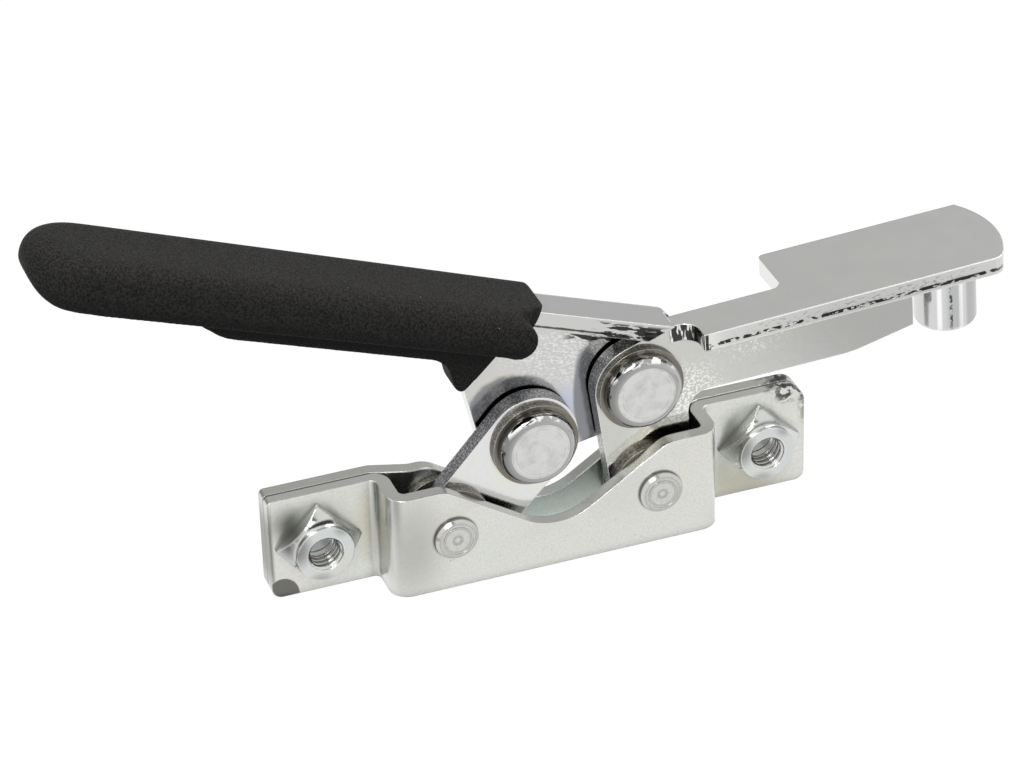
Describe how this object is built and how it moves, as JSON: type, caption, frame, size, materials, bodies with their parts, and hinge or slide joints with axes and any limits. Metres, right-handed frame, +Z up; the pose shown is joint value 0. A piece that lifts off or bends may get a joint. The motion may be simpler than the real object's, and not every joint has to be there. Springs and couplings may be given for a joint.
{
  "type": "over-centre roof latch",
  "caption": "Over-centre hand latch: a two-plate bracket with weld nuts carries a link and an arm with a T-shaped plate and locating stud, joined by a lever with a dipped black grip.",
  "frame": {"origin": "on the left mounting screw's axis, on the bracket's front face under the weld nut", "axes": "+X along the bracket to the right screw, +Y along the screws to the mounting side, +Z up to the lever"},
  "size_m": [0.1596, 0.0213, 0.0758],
  "materials": {
    "bracket_zinc": "satin zinc plate",
    "nut_zinc": "satin zinc plate",
    "rivet_zinc": "satin zinc plate",
    "washer_zinc": "dull zinc plate",
    "link_chrome": "bright plate",
    "arm_chrome": "bright plate",
    "lever_chrome": "bright plate",
    "pin_steel": "turned and bright plated",
    "grip_coating": "fine-grained matt dip coating"
  },
  "bodies": {
    "bracket": {"bracket_front_plate": "bracket_zinc", "bracket_rear_plate": "bracket_zinc", "weld_nut_left": "nut_zinc", "weld_nut_right": "nut_zinc", "pivot_rivet_left": "rivet_zinc", "pivot_rivet_right": "rivet_zinc", "thrust_washer_left_front": "washer_zinc", "thrust_washer_left_rear": "washer_zinc", "thrust_washer_right_front": "washer_zinc", "thrust_washer_right_rear": "washer_zinc"},
    "link": {"link_plate": "link_chrome"},
    "handle": {"hand_lever": "lever_chrome", "lever_grip": "grip_coating", "link_pin": "pin_steel", "link_pin_head_washer": "washer_zinc", "link_pin_shim": "washer_zinc"},
    "latch_arm": {"latch_arm_plate": "arm_chrome", "latch_top_plate": "arm_chrome", "latch_stud": "arm_chrome", "arm_pin": "pin_steel", "arm_pin_head_washer": "washer_zinc", "arm_pin_shim": "washer_zinc"}
  },
  "joints": [
    {"name": "link_swing", "type": "hinge", "parent": "bracket", "child": "link", "pos_m": [0.02015, -0.0027, 0.0003], "axis": [0, 1, 0], "range_deg": [0, 20]},
    {"name": "handle_pivot", "type": "hinge", "parent": "link", "child": "handle", "pos_m": [0.03488, -0.0027, 0.01223], "axis": [0, -1, 0], "range_deg": [0, 39.3]},
    {"name": "arm_pivot", "type": "hinge", "parent": "bracket", "child": "latch_arm", "pos_m": [0.05465, -0.0027, 0.0003], "axis": [0, 1, 0], "range_deg": [0, 1.6]}
  ],
  "couplings": [
    {"joint": "handle_pivot", "follows": "link_swing", "ratio": 1.9649},
    {"joint": "arm_pivot", "follows": "link_swing", "ratio": 0.0769}
  ]
}
